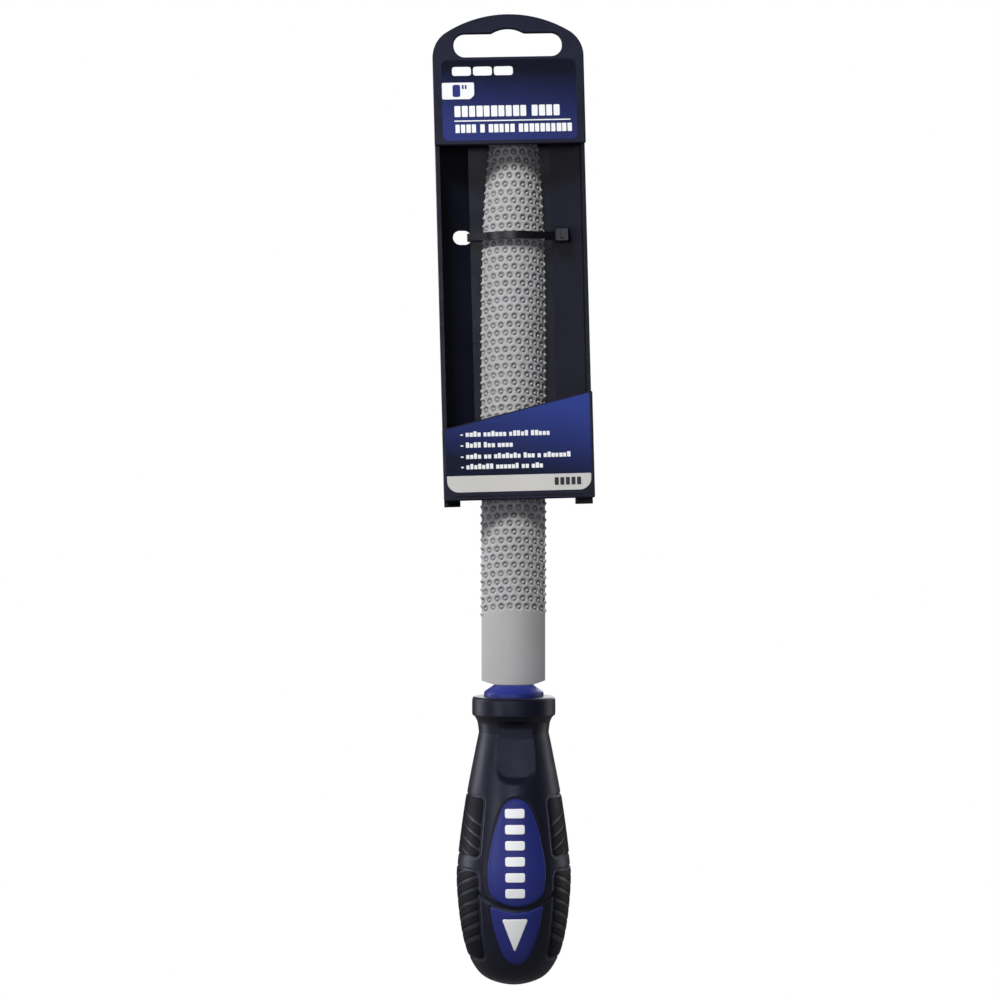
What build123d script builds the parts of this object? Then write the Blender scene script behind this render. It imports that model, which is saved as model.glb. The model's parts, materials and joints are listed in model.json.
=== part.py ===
from build123d import *
import math
import os

# A half-round wood rasp with a two-colour moulded handle, tied into its plastic shop hanger.
# Millimetres. The origin is the peg seat at the top of the hang slot. +Z is up along the rasp,
# and the front of the hanger faces -Y.

# Blade: flat at the back, round at the front
blade_tip_z = -19.0
blade_length = 203.7
blade_width = 21.8
blade_thickness = 6.2
tip_width = 11.6
tip_thickness = 3.6
edge_thickness = 0.8
taper_length = 86.0
taper_power = 2.5
taper_stations = 6
tip_round_radius = 7.0
heel_shoulder_run = 4.7
heel_shoulder_rise = 1.3
tang_length = 60.0
tang_width = 11.0
tang_thickness = 4.4
tang_end_width = 4.6
tang_end_thickness = 2.8
flat_side_y = 2.6

# Where the rasp's axis runs, measured from the peg seat
rasp_x = 2.6
rasp_y = 7.0

# Handle
collar_height = 3.9
collar_top_radius = 6.8
collar_radius = 10.2
collar_chamfer = 2.3
flange_height = 6.6
flange_radius = 14.2
flange_round = 1.2
flange_low_round = 0.7
hollow_radius = 12.4
hollow_drop = 2.2
neck_radius = 11.9
neck_drop = 12.0
grip_wall = 3.2
window_proud = 0.15
mark_thickness = 0.25
mark_corner = 0.6
upper_window_corner = 1.6
lower_window_corner = 1.0
grade_bars = 6
grade_width = 6.6
grade_height = 3.1
grade_pitch = 5.3
grade_top_z = -264.8
mark_x = -0.7
pointer_width = 8.8
pointer_height = 11.4
pointer_top_z = -300.0
tread_depth = 1.6
tread_proud = 0.1
tread_wrap = 48.5
tread_corner = 3.0
groove_width = 0.8
groove_depth = 0.7
groove_pitch = 3.9
groove_slope = 20.0

# Grip outline below the flange: (radius, height above the handle's lower end)
grip_shape = [
    (13.2, 79.9),
    (16.4, 62.9),
    (18.7, 45.9),
    (19.4, 35.6),
    (18.2, 21.9),
    (16.0, 11.9),
    (12.4, 5.0),
    (7.6, 1.6),
]
handle_end_z = -324.9

# Thumb rest: a shallow dished recess below the flange
thumb_top_z = -235.8
thumb_low_z = -254.9
thumb_top_width = 10.0
thumb_width = 13.2
thumb_top_depth = 11.3
thumb_low_depth = 13.2
thumb_full_share = 0.55
thumb_low_round = 4.2
thumb_top_round = 2.5

# Hanger
hanger_lean = 1.5
tray_half_width = 25.35
tray_wall = 1.3
tray_floor = 1.4
tray_flat_half = 14.0
tray_floor_y = 3.3
tray_flank_y = 0.5
tray_front_y = -6.0
tray_top_z = -11.5
tray_low_z = -159.5
tray_back_round = 1.2
foot_drop = 2.1
foot_width = 5.6
foot_front_y = -2.0
plate_thickness = 2.0
plate_half_width = 25.65
plate_edge_round = 0.5
plate_corner = 0.6
dome_top_z = 4.9
dome_radius = 40.0
dome_corner = 10.0
header_low_z = -39.2
slot_width = 36.8
slot_top_z = -1.6
slot_low_z = -9.5
slot_corner = 3.8
slot_bump = 11.0
slot_bump_round = 2.0
label_thickness = 0.3
label_half_width = 22.8
label_top_z = -10.5
label_low_z = -37.7
label_corner = 2.0
sleeve_left_z = -135.3
sleeve_right_z = -123.1
sleeve_rim = 1.1
sleeve_top_rim = 0.5
sleeve_label_top_corner = 0.5
sleeve_label_low_z = -156.7
sleeve_label_corner = 4.0
ridge_z = -158.2
ridge_width = 0.5
ridge_depth = 0.3

# Cable tie and the two holes it is threaded through
tie_z = -69.5
tie_hole_x = 16.7
tie_hole_width = 6.4
tie_hole_height = 4.9
covered_hole_width = 4.0
covered_hole_height = 3.8
strap_width = 2.5
strap_thickness = 1.0
strap_left_x = 14.0
strap_right_x = 15.4
strap_arch_x = 8.5
strap_arch_y = -1.4
strap_apex_y = -4.4
strap_back_y = 4.95
strap_shoulder_y = 2.3
strap_shoulder_share = 0.6
strap_corner = 0.6
head_x = 17.1
head_size = 4.9
head_front_y = -2.6
head_back_y = 1.8
head_corner = 0.8
head_chamfer = 0.4
tail_length = 3.0
tail_root = 0.5

heel_z = blade_tip_z - blade_length
flange_top_z = heel_z - collar_height
neck_z = flange_top_z - neck_drop


def half_round(z, width, thickness):
    half = width / 2
    shoulder = flat_side_y - edge_thickness
    apex = flat_side_y - thickness
    back = Line((-half, flat_side_y), (half, flat_side_y))
    right = Line((half, flat_side_y), (half, shoulder))
    belly = ThreePointArc((half, shoulder), (0, apex), (-half, shoulder))
    left = Line((-half, shoulder), (-half, flat_side_y))
    return Pos(0, 0, z) * make_face(back + right + belly + left)


def taper_station(share):
    """Section of the blade at a share of the taper's length from the tip."""
    fullness = 1 - (1 - share) ** taper_power
    width = tip_width + (blade_width - tip_width) * fullness
    thickness = tip_thickness + (blade_thickness - tip_thickness) * fullness
    return half_round(blade_tip_z - share * taper_length, width, thickness)


def make_tang():
    top = Pos(0, 0, heel_z) * Rectangle(tang_width, tang_thickness)
    low = Pos(0, 0, heel_z - tang_length) * Rectangle(tang_end_width, tang_end_thickness)
    return loft([top, low])


def make_blade():
    last = taper_stations - 1
    tapered = loft([taper_station(step / last) for step in range(taper_stations)])
    round_centre_z = blade_tip_z - tip_round_radius
    rounding = Circle(tip_round_radius) + Pos(0, -taper_length / 2) * Rectangle(
        2 * blade_width, taper_length)
    rounding = Pos(0, flat_side_y + 1, round_centre_z) * (Plane.XZ * rounding)
    tip_tool = extrude(rounding, amount=2 * blade_thickness)
    keep_low = Pos(0, 0, blade_tip_z - taper_length / 2) * Box(
        2 * blade_width, 4 * blade_thickness, taper_length + 0.2)
    tapered = tapered & tip_tool & keep_low

    plain_top_z = blade_tip_z - taper_length
    plain = extrude(half_round(heel_z, blade_width, blade_thickness), amount=plain_top_z - heel_z)
    half = blade_width / 2
    for side in (-1, 1):
        slope = heel_shoulder_rise / heel_shoulder_run
        shoulder = make_face(Polyline(
            (side * (half - heel_shoulder_run), heel_z),
            (side * (half + 1), heel_z),
            (side * (half + 1), heel_z + heel_shoulder_rise + slope),
            close=True))
        plain -= extrude(Plane.XZ * shoulder, amount=2 * blade_thickness, both=True)
    return tapered + plain + make_tang()


def grip_profile(offset):
    """Points of the grip's side, moved outward along their normals by the offset."""
    raw = [(neck_radius, neck_z)]
    raw += [(radius, handle_end_z + height) for radius, height in grip_shape]
    raw.append((0, handle_end_z))
    moved = []
    for index, (radius, z) in enumerate(raw):
        before = raw[max(index - 1, 0)]
        after = raw[min(index + 1, len(raw) - 1)]
        run = (after[0] - before[0], after[1] - before[1])
        size = math.hypot(*run)
        moved.append((radius - offset * run[1] / size, z + offset * run[0] / size))
    moved[0] = (neck_radius + offset, neck_z)
    moved[-1] = (0, handle_end_z - offset)
    return moved


def grip_body(offset):
    """Solid of revolution below the flange, larger than the grip by the offset."""
    points = grip_profile(offset)
    side = Spline(*points, tangents=[(0.02, -1), (-1, 0)])
    top = Line((0, neck_z), points[0])
    axis_line = Line(points[-1], (0, neck_z))
    return revolve(Plane.XZ * make_face(top + side + axis_line), axis=Axis.Z)


def flange_body():
    """Flange ring with rounded edges and a hollow curve down to the neck."""
    inner = neck_radius
    low_z = flange_top_z - flange_height
    rounded = flange_round * (1 - math.sqrt(0.5))
    low_rounded = flange_low_round * (1 - math.sqrt(0.5))
    top = Line((0, flange_top_z), (flange_radius - flange_round, flange_top_z))
    top_arc = ThreePointArc(
        (flange_radius - flange_round, flange_top_z),
        (flange_radius - rounded, flange_top_z - rounded),
        (flange_radius, flange_top_z - flange_round))
    rim = Line(
        (flange_radius, flange_top_z - flange_round), (flange_radius, low_z + flange_low_round))
    low_arc = ThreePointArc(
        (flange_radius, low_z + flange_low_round),
        (flange_radius - low_rounded, low_z + low_rounded),
        (flange_radius - flange_low_round, low_z))
    hollow = ThreePointArc(
        (flange_radius - flange_low_round, low_z),
        (hollow_radius, low_z - hollow_drop),
        (inner, neck_z))
    floor = Line((inner, neck_z), (0, neck_z))
    axis_line = Line((0, neck_z), (0, flange_top_z))
    return revolve(
        Plane.XZ * make_face(top + top_arc + rim + low_arc + hollow + floor + axis_line),
        axis=Axis.Z)


def front_prism(outline):
    """Outline drawn in X and Z, pushed from the handle's axis out through its front."""
    return extrude(Plane.XZ * outline, amount=2 * flange_radius)


def back_prism(outline):
    return mirror(front_prism(outline), about=Plane.XZ)


def upper_window():
    """Egg-shaped window: narrow round top, full middle, bowed foot."""
    half = [(0, -259.9), (5.3, -264.3), (8.5, -275.2), (9.8, -284.2), (8.9, -292.0)]
    right = Spline(*half, tangents=[(1, 0), (-0.28, -1)])
    foot = ThreePointArc(half[-1], (0, -295.9), (-half[-1][0], half[-1][1]))
    left = mirror(right, about=Plane.YZ)
    outline = make_face(right + foot + left)
    corners = outline.vertices().sort_by(Axis.Y)[:2]
    return fillet(corners, radius=upper_window_corner)


def lower_window():
    """Shield-shaped window under the upper one, with a hollow top edge."""
    half = [(8.9, -295.6), (8.1, -302.0), (6.2, -308.5), (4.1, -313.2), (0, -316.0)]
    right = Spline(*half, tangents=[(0.05, -1), (-1, 0)])
    top = ThreePointArc((-half[0][0], half[0][1]), (0, -297.8), half[0])
    left = mirror(right, about=Plane.YZ)
    outline = make_face(top + right + left)
    corners = outline.vertices().sort_by(Axis.Y)[-2:]
    return fillet(corners, radius=lower_window_corner)


def window_prisms():
    shapes = []
    for outline in (upper_window(), lower_window()):
        shapes.append(front_prism(outline))
        shapes.append(back_prism(outline))
    return shapes


def grip_radius(z):
    """Straight-line reading of the grip's radius at a height."""
    points = [(neck_radius, neck_z)]
    points += [(radius, handle_end_z + height) for radius, height in grip_shape]
    for (radius_a, z_a), (radius_b, z_b) in zip(points, points[1:]):
        if z_a >= z >= z_b:
            return radius_a + (radius_b - radius_a) * (z_a - z) / (z_a - z_b)
    return points[-1][0]


def tread_outline(top_z, low_z):
    """Side patch in Y and Z that wraps the same angle round the grip at every height."""
    reach = math.sin(math.radians(tread_wrap))
    heights = [top_z, (2 * top_z + low_z) / 3, (top_z + 2 * low_z) / 3, low_z]
    front = [(-reach * grip_radius(z), z) for z in heights]
    rear = [(-y, z) for y, z in reversed(front)]
    outline = make_face(
        Spline(*front) + Line(front[-1], rear[0]) + Spline(*rear) + Line(rear[-1], front[0]))
    return fillet(outline.vertices(), radius=tread_corner)


def tread_prism(side, top_z, low_z):
    prism = extrude(Plane.YZ * tread_outline(top_z, low_z), amount=2 * flange_radius)
    if side < 0:
        return mirror(prism, about=Plane.YZ)
    return prism


def tread_grooves(top_z, low_z, turn):
    """Slanted bars that cut the tread's grooves; turn is 1 where they fall towards the front."""
    count = round((top_z - low_z) / groove_pitch) - 1
    middle = (top_z + low_z) / 2
    bars = []
    for index in range(count):
        z = middle + (index - (count - 1) / 2) * groove_pitch
        bars.append(Pos(0, 0, z) * Rot(turn * groove_slope, 0, 0) * Box(
            4 * flange_radius, 4 * flange_radius, groove_width))
    return bars


def make_tread(side, top_z, low_z, turn):
    ring = grip_body(tread_proud) - grip_body(-tread_depth)
    pad = ring & tread_prism(side, top_z, low_z)
    cutter = grip_body(1) - grip_body(-groove_depth)
    for bar in tread_grooves(top_z, low_z, turn):
        pad -= bar & cutter
    return pad


treads = {
    "tread_upper_left": (-1, -259.8, -279.9, 1),
    "tread_upper_right": (1, -259.8, -279.9, 1),
    "tread_lower_left": (-1, -284.4, -314.8, -1),
    "tread_lower_right": (1, -284.4, -314.8, -1),
}


def make_core():
    """Hard handle core: collar, inner body and the pads that fill the grip's windows."""
    collar_low_z = flange_top_z - flange_height
    collar = make_face(Polyline(
        (0, heel_z),
        (collar_top_radius, heel_z),
        (collar_radius, heel_z - collar_chamfer),
        (collar_radius, collar_low_z),
        (neck_radius - grip_wall, neck_z),
        (0, neck_z),
        close=True))
    core = revolve(Plane.XZ * collar, axis=Axis.Z) + grip_body(-grip_wall)
    pads = grip_body(window_proud)
    for prism in window_prisms():
        core += pads & prism
    return core - make_tang()


def thumb_tool():
    """Rounded outline on a plane that leans less than the grip's side does."""
    lean = math.atan2(thumb_low_depth - thumb_top_depth, thumb_top_z - thumb_low_z)
    length = math.hypot(thumb_low_depth - thumb_top_depth, thumb_top_z - thumb_low_z)
    outline = make_face(Polyline(
        (-thumb_top_width / 2, 0),
        (thumb_top_width / 2, 0),
        (thumb_width / 2, -length * thumb_full_share),
        (thumb_width / 2, -length),
        (-thumb_width / 2, -length),
        (-thumb_width / 2, -length * thumb_full_share),
        close=True))
    outline = fillet(outline.vertices().sort_by(Axis.Y)[:2], radius=thumb_low_round)
    outline = fillet(outline.vertices().sort_by(Axis.Y)[-2:], radius=thumb_top_round)
    floor = Plane(
        origin=(0, -thumb_top_depth, thumb_top_z),
        x_dir=(1, 0, 0),
        z_dir=(0, -math.cos(lean), math.sin(lean)))
    return extrude(floor * outline, amount=grip_wall * 3)


def make_grip(core):
    """Soft overmoulded shell: flange, neck and bulb, open at the windows and tread pockets."""
    shell = flange_body() + grip_body(0) - core - make_tang()
    for prism in window_prisms():
        shell -= prism
    for side, top_z, low_z, _ in treads.values():
        shell -= tread_prism(side, top_z, low_z) - grip_body(-tread_depth)
    return shell - thumb_tool()


def make_grade_mark():
    """Column of plain printed bars on the upper window."""
    layer = grip_body(window_proud + mark_thickness) - grip_body(window_proud)
    bars = []
    for index in range(grade_bars):
        z = grade_top_z - index * grade_pitch
        bar = Pos(mark_x, z) * RectangleRounded(grade_width, grade_height, mark_corner)
        bars.append(layer & front_prism(bar))
    return Compound(children=bars)


def make_pointer_mark():
    """Plain printed triangle on the lower window, pointing to the handle's end."""
    half = pointer_width / 2
    triangle = make_face(Polyline(
        (mark_x - half, pointer_top_z),
        (mark_x + half, pointer_top_z),
        (mark_x, pointer_top_z - pointer_height),
        close=True))
    triangle = fillet(triangle.vertices(), radius=mark_corner)
    layer = grip_body(window_proud + mark_thickness) - grip_body(window_proud)
    return layer & front_prism(triangle)


def tray_section():
    """Shallow trough: flat under the blade, sloped flanks, upright sides."""
    half = tray_half_width
    inner = half - tray_wall
    back_y = tray_floor_y + tray_floor
    side_y = tray_flank_y + tray_floor
    outline = make_face(Polyline(
        (-half, tray_front_y),
        (-half, side_y),
        (-tray_flat_half, back_y),
        (tray_flat_half, back_y),
        (half, side_y),
        (half, tray_front_y),
        close=True))
    outline = fillet(outline.vertices().sort_by(Axis.Y)[2:4], radius=tray_back_round)
    space = make_face(Polyline(
        (-inner, tray_front_y - 1),
        (-inner, tray_flank_y),
        (-tray_flat_half, tray_floor_y),
        (tray_flat_half, tray_floor_y),
        (inner, tray_flank_y),
        (inner, tray_front_y - 1),
        close=True))
    return outline, space


def make_tray():
    outline, space = tray_section()
    height = tray_top_z - tray_low_z
    tray = extrude(Pos(0, 0, tray_low_z) * outline, amount=height)
    tray -= extrude(Pos(0, 0, tray_low_z - 1) * space, amount=height - tray_wall + 1)
    for side in (-1, 1):
        corner = Pos(side * (tray_half_width - foot_width / 2), foot_front_y + foot_width) * Rectangle(
            foot_width, 2 * foot_width)
        foot = (outline - space) & corner
        tray += extrude(Pos(0, 0, tray_low_z - foot_drop) * foot, amount=foot_drop)
    holes = {-1: (tie_hole_width, tie_hole_height), 1: (covered_hole_width, covered_hole_height)}
    for side, hole_size in holes.items():
        hole = Plane.XZ * Pos(side * tie_hole_x, tie_z) * SlotOverall(*hole_size)
        tray -= extrude(hole, amount=plate_half_width, both=True)
    return tray


def plate(outline, depth=plate_thickness):
    """Flat plate lying on the tray's front rims."""
    return extrude(Pos(0, tray_front_y, 0) * (Plane.XZ * outline), amount=depth)


def hang_slot_outline():
    width = slot_width
    height = slot_top_z - slot_low_z
    middle = (slot_top_z + slot_low_z) / 2
    slot = Pos(0, middle) * RectangleRounded(width, height, slot_corner)
    left = (-slot_bump / 2, slot_top_z)
    right = (slot_bump / 2, slot_top_z)
    bump = make_face(
        ThreePointArc(left, (0, 0), right) + Polyline(right, (slot_bump / 2, middle),
                                                      (-slot_bump / 2, middle), left))
    slot = slot + bump
    joins = [corner for corner in slot.vertices()
             if abs(abs(corner.X) - slot_bump / 2) < 0.01 and abs(corner.Y - slot_top_z) < 0.01]
    return fillet(joins, radius=slot_bump_round)


def header_outline():
    half = plate_half_width
    dome = Pos(0, dome_top_z - dome_radius) * Circle(dome_radius)
    strip = Pos(0, header_low_z / 2 + dome_top_z) * Rectangle(
        2 * half, -header_low_z + 2 * dome_top_z)
    outline = dome & strip
    outline = fillet(outline.vertices().sort_by(Axis.Y)[-2:], radius=dome_corner)
    return fillet(outline.vertices().sort_by(Axis.Y)[:2], radius=plate_corner)


def header_label_outline():
    height = label_top_z - label_low_z
    middle = (label_top_z + label_low_z) / 2
    return Pos(0, middle) * RectangleRounded(2 * label_half_width, height, label_corner)


def label_solid(outline):
    """Thin label lying flush in its recess in a plate's face."""
    front = plate(outline)
    behind = plate(outline, plate_thickness - label_thickness)
    return front - behind


def make_header():
    body = plate(header_outline() - hang_slot_outline())
    front = body.faces().sort_by(Axis.Y)[0]
    body = fillet(front.edges(), radius=plate_edge_round)
    return body - label_solid(header_label_outline())


def sleeve_outline(inset_side=0.0, low_z=tray_low_z, inset_top=0.0):
    half = plate_half_width
    edge = half - inset_side
    slope = (sleeve_right_z - sleeve_left_z) / (2 * half)
    middle_z = (sleeve_right_z + sleeve_left_z) / 2 - inset_top
    return make_face(Polyline(
        (-edge, middle_z - slope * edge),
        (edge, middle_z + slope * edge),
        (edge, low_z),
        (-edge, low_z),
        close=True))


def sleeve_label_outline():
    outline = sleeve_outline(sleeve_rim, sleeve_label_low_z, inset_top=sleeve_top_rim)
    outline = fillet(outline.vertices().sort_by(Axis.Y)[:2], radius=sleeve_label_corner)
    return fillet(outline.vertices().sort_by(Axis.Y)[-2:], radius=sleeve_label_top_corner)


def make_sleeve():
    outline = fillet(sleeve_outline().vertices(), radius=plate_corner)
    body = plate(outline)
    front = body.faces().sort_by(Axis.Y)[0]
    body = fillet(front.edges(), radius=plate_edge_round)
    body -= label_solid(sleeve_label_outline())
    front_y = tray_front_y - plate_thickness
    return body - Pos(0, front_y, ridge_z) * Box(
        2 * plate_half_width - 2 * sleeve_label_corner, 2 * ridge_depth, ridge_width)


def strap_loop(grow):
    """Closed line of the strap's inner face in X and Y, moved outward by the thickness."""
    left = -strap_left_x - grow
    right = strap_right_x + grow
    back = strap_back_y + grow
    arch_y = strap_arch_y - grow
    shoulder_y = strap_shoulder_y - strap_shoulder_share * grow
    over = ThreePointArc((-strap_arch_x, arch_y), (0, strap_apex_y - grow), (strap_arch_x, arch_y))
    rest = Polyline(
        (strap_arch_x, arch_y),
        (right, shoulder_y),
        (right, back),
        (left, back),
        (left, shoulder_y),
        (-strap_arch_x, arch_y))
    loop = make_face(over + rest)
    return fillet(loop.vertices().sort_by(Axis.Y)[-2:], radius=strap_corner + grow)


def make_cable_tie():
    ring = strap_loop(strap_thickness) - strap_loop(0)
    strap = extrude(Pos(0, 0, tie_z - strap_width / 2) * ring, amount=strap_width)
    head_y = (head_front_y + head_back_y) / 2
    head = Pos(head_x, head_y, tie_z) * Box(head_size, head_back_y - head_front_y, head_size)
    head = fillet(head.edges().filter_by(Axis.Y), radius=head_corner)
    head = chamfer(head.faces().sort_by(Axis.Y)[0].edges(), length=head_chamfer)
    tail = Pos(head_x, head_front_y - tail_length / 2 + tail_root, tie_z)
    tail = tail * Box(strap_thickness, tail_length, strap_width)
    return strap + head + tail


def on_rasp(shape):
    return Pos(rasp_x, rasp_y, 0) * shape


def on_hanger(shape):
    """The hanger leans a little beside the rasp, turned about the peg seat."""
    return Rot(0, -hanger_lean, 0) * (Pos(0, rasp_y, 0) * shape)


def build_all():
    core = make_core()
    nodes = {
        "blade": on_rasp(make_blade()),
        "handle_core": on_rasp(core),
        "grip_shell": on_rasp(make_grip(core)),
        "grade_mark": on_rasp(make_grade_mark()),
        "pointer_mark": on_rasp(make_pointer_mark()),
        "hanger_tray": on_hanger(make_tray()),
        "header_plate": on_hanger(make_header()),
        "sleeve_plate": on_hanger(make_sleeve()),
        "header_label": on_hanger(label_solid(header_label_outline())),
        "sleeve_label": on_hanger(label_solid(sleeve_label_outline())),
        "cable_tie": on_hanger(make_cable_tie()),
    }
    for name, place in treads.items():
        nodes[name] = on_rasp(make_tread(*place))
    return nodes


os.makedirs("parts", exist_ok=True)
for node_name, solid in build_all().items():
    export_step(solid, f"parts/{node_name}.step")
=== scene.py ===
import json
import math

import bpy
import numpy as np
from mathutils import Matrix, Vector


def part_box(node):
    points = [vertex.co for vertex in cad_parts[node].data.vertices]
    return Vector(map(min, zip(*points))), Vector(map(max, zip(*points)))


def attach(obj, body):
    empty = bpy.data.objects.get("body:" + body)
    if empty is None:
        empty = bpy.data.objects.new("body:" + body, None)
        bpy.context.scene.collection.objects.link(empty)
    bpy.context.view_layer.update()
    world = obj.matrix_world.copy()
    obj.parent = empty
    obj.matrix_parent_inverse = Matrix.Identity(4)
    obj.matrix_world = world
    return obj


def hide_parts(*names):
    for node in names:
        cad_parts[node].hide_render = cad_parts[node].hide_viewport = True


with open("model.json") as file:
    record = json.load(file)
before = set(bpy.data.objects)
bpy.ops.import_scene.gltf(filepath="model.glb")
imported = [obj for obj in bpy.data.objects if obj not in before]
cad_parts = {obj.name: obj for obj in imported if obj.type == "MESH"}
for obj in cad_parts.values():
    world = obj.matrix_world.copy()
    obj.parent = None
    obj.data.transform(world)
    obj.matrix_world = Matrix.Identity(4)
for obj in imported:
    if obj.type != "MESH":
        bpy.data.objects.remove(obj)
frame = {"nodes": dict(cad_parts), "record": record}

MM = 0.001
FAR = 1e9
TINY = 1e-12
rng = np.random.default_rng(7)
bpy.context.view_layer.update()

# ---------------------------------------------------------------- places read from the frame

blade_low, blade_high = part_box("blade")
grip_low, grip_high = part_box("grip_shell")
core_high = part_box("handle_core")[1]
label_low, label_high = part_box("header_label")
sleeve_low, sleeve_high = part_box("sleeve_label")

AXIS_X = (blade_low.x + blade_high.x) / 2 / MM
AXIS_Y = (grip_low.y + grip_high.y) / 2 / MM
FLAT_Y = blade_high.y / MM
TIP_Z = blade_high.z / MM
HEEL_Z = core_high.z / MM
FLANGE_Z = grip_high.z / MM
END_Z = grip_low.z / MM
BLADE_WIDTH = (blade_high.x - blade_low.x) / MM
BLADE_THICK = (blade_high.y - blade_low.y) / MM
LABEL_FRONT_Y = label_low.y / MM
SLEEVE_FRONT_Y = sleeve_low.y / MM
DRAW_TRAVEL = frame["record"]["behaviour"]["joints"][0]["range_m"][1] / MM
HANGER_LEAN = math.radians(1.5)

# ---------------------------------------------------------------- mesh helpers

CORNER_SHARE = 0.45


def make_object(name, vertices, faces, smooth=True):
    """Mesh object from points in millimetres in the row frame."""
    mesh = bpy.data.meshes.new(name)
    points = np.asarray(vertices, float) * MM
    mesh.from_pydata(points.tolist(), [], faces)
    mesh.validate()
    if smooth:
        mesh.polygons.foreach_set("use_smooth", [True] * len(mesh.polygons))
    mesh.update()
    obj = bpy.data.objects.new(name, mesh)
    bpy.context.scene.collection.objects.link(obj)
    return obj


def set_attribute(obj, name, values):
    attribute = obj.data.attributes.new(name, "FLOAT", "POINT")
    attribute.data.foreach_set("value", np.asarray(values, np.float32).ravel())


def grid_faces(rows, columns, start=0):
    """Quads between rows of points, where each row is a closed ring."""
    faces = []
    for row in range(rows - 1):
        a = start + row * columns
        b = a + columns
        for column in range(columns):
            after = (column + 1) % columns
            faces.append((a + column, a + after, b + after, b + column))
    return faces


def capped_faces(rows, columns, start=0):
    """Quads between rings of points, with one face over each end ring."""
    last = start + (rows - 1) * columns
    return grid_faces(rows, columns, start) + [
        tuple(range(start + columns - 1, start - 1, -1)),
        tuple(range(last, last + columns))]


def fan_faces(start, count, pole):
    """Triangles from a ring of points to one more point."""
    return [(start + step, start + (step + 1) % count, pole) for step in range(count)]


def turned(faces):
    """The same faces, each facing the other way."""
    return [face[::-1] for face in faces]


def join_parts(parts):
    """One list of vertices and one of faces from several."""
    vertices, faces = [], []
    for part_vertices, part_faces in parts:
        start = len(vertices)
        vertices += part_vertices
        faces += [tuple(index + start for index in face) for face in part_faces]
    return vertices, faces


def smooth_step(value, low, high):
    share = np.clip((value - low) / (high - low), 0, 1)
    return share * share * (3 - 2 * share)


def catmull(points, steps, closed=False):
    """Smooth curve through points, as an array, with a number of steps for each span."""
    points = np.asarray(points, float)
    count = len(points)
    spans = count if closed else count - 1
    shares = np.linspace(0, 1, steps, endpoint=False)
    pieces = []
    for span in range(spans):
        if closed:
            p0, p1, p2, p3 = (points[(span + k) % count] for k in (-1, 0, 1, 2))
        else:
            p0 = points[max(span - 1, 0)]
            p1 = points[span]
            p2 = points[span + 1]
            p3 = points[min(span + 2, count - 1)]
        for t in shares:
            pieces.append(0.5 * (
                2 * p1 + (p2 - p0) * t + (2 * p0 - 5 * p1 + 4 * p2 - p3) * t ** 2
                + (3 * p1 - p0 - 3 * p2 + p3) * t ** 3))
    if not closed:
        pieces.append(points[-1])
    return np.array(pieces)


def signed_distance(px, pz, polygon):
    """Distance of points to a closed polygon, negative inside."""
    points = np.stack([px.ravel(), pz.ravel()], 1)
    best = np.full(len(points), FAR)
    inside = np.zeros(len(points), bool)
    for (ax, az), (bx, bz) in zip(polygon, np.roll(polygon, -1, axis=0)):
        ex, ez = bx - ax, bz - az
        wx, wz = points[:, 0] - ax, points[:, 1] - az
        share = np.clip((wx * ex + wz * ez) / max(ex * ex + ez * ez, TINY), 0, 1)
        best = np.minimum(best, np.hypot(wx - share * ex, wz - share * ez))
        crosses = (az > points[:, 1]) != (bz > points[:, 1])
        if ez != 0:
            cut = ax + (points[:, 1] - az) * ex / ez
            inside ^= crosses & (points[:, 0] < cut)
    return np.where(inside, -best, best).reshape(px.shape)


def resample(polygon, count):
    """Closed polygon with evenly spaced points."""
    loop = np.vstack([polygon, polygon[:1]])
    steps = np.hypot(*np.diff(loop, axis=0).T)
    travel = np.concatenate([[0], np.cumsum(steps)])
    targets = np.linspace(0, travel[-1], count, endpoint=False)
    return np.stack([np.interp(targets, travel, loop[:, k]) for k in (0, 1)], 1)


def corner_curve(corner, before, after, reaches, steps):
    """Curve round a corner, from a reach along one of its sides to a reach along the other."""
    start = corner + before / np.hypot(*before) * reaches[0]
    end = corner + after / np.hypot(*after) * reaches[1]
    return [
        (1 - t) ** 2 * start + 2 * t * (1 - t) * corner + t ** 2 * end
        for t in np.linspace(0, 1, steps)]


def rounded_outline(corners, radius, steps=5):
    """Closed polygon with each corner rounded by a soft curve."""
    corners = np.asarray(corners, float)
    points = []
    for index, corner in enumerate(corners):
        before = corners[index - 1] - corner
        after = corners[(index + 1) % len(corners)] - corner
        reach = min(radius, CORNER_SHARE * np.hypot(*before), CORNER_SHARE * np.hypot(*after))
        points += corner_curve(corner, before, after, (reach, reach), steps)
    return np.array(points)


def rounded_corner(corners, index, radius, steps=8):
    """Quarter circle at one square corner of a polygon."""
    corners = np.asarray(corners, float)
    corner = corners[index]
    before = corners[index - 1] - corner
    after = corners[(index + 1) % len(corners)] - corner
    start = corner + before / np.hypot(*before) * radius
    end = corner + after / np.hypot(*after) * radius
    centre = start + end - corner
    return np.array([
        centre + (corner - end) * math.cos(turn) + (corner - start) * math.sin(turn)
        for turn in np.linspace(0, math.pi / 2, steps)])


def bar(left, top, width, height, radius, steps=4):
    """Outline of an upright bar with rounded corners, clockwise from its upper left."""
    right, low = left + width, top - height
    return rounded_outline([(left, top), (right, top), (right, low), (left, low)], radius, steps)


# ---------------------------------------------------------------- material helpers

NOISE_LOW = 0.3
NOISE_HIGH = 0.7


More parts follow.
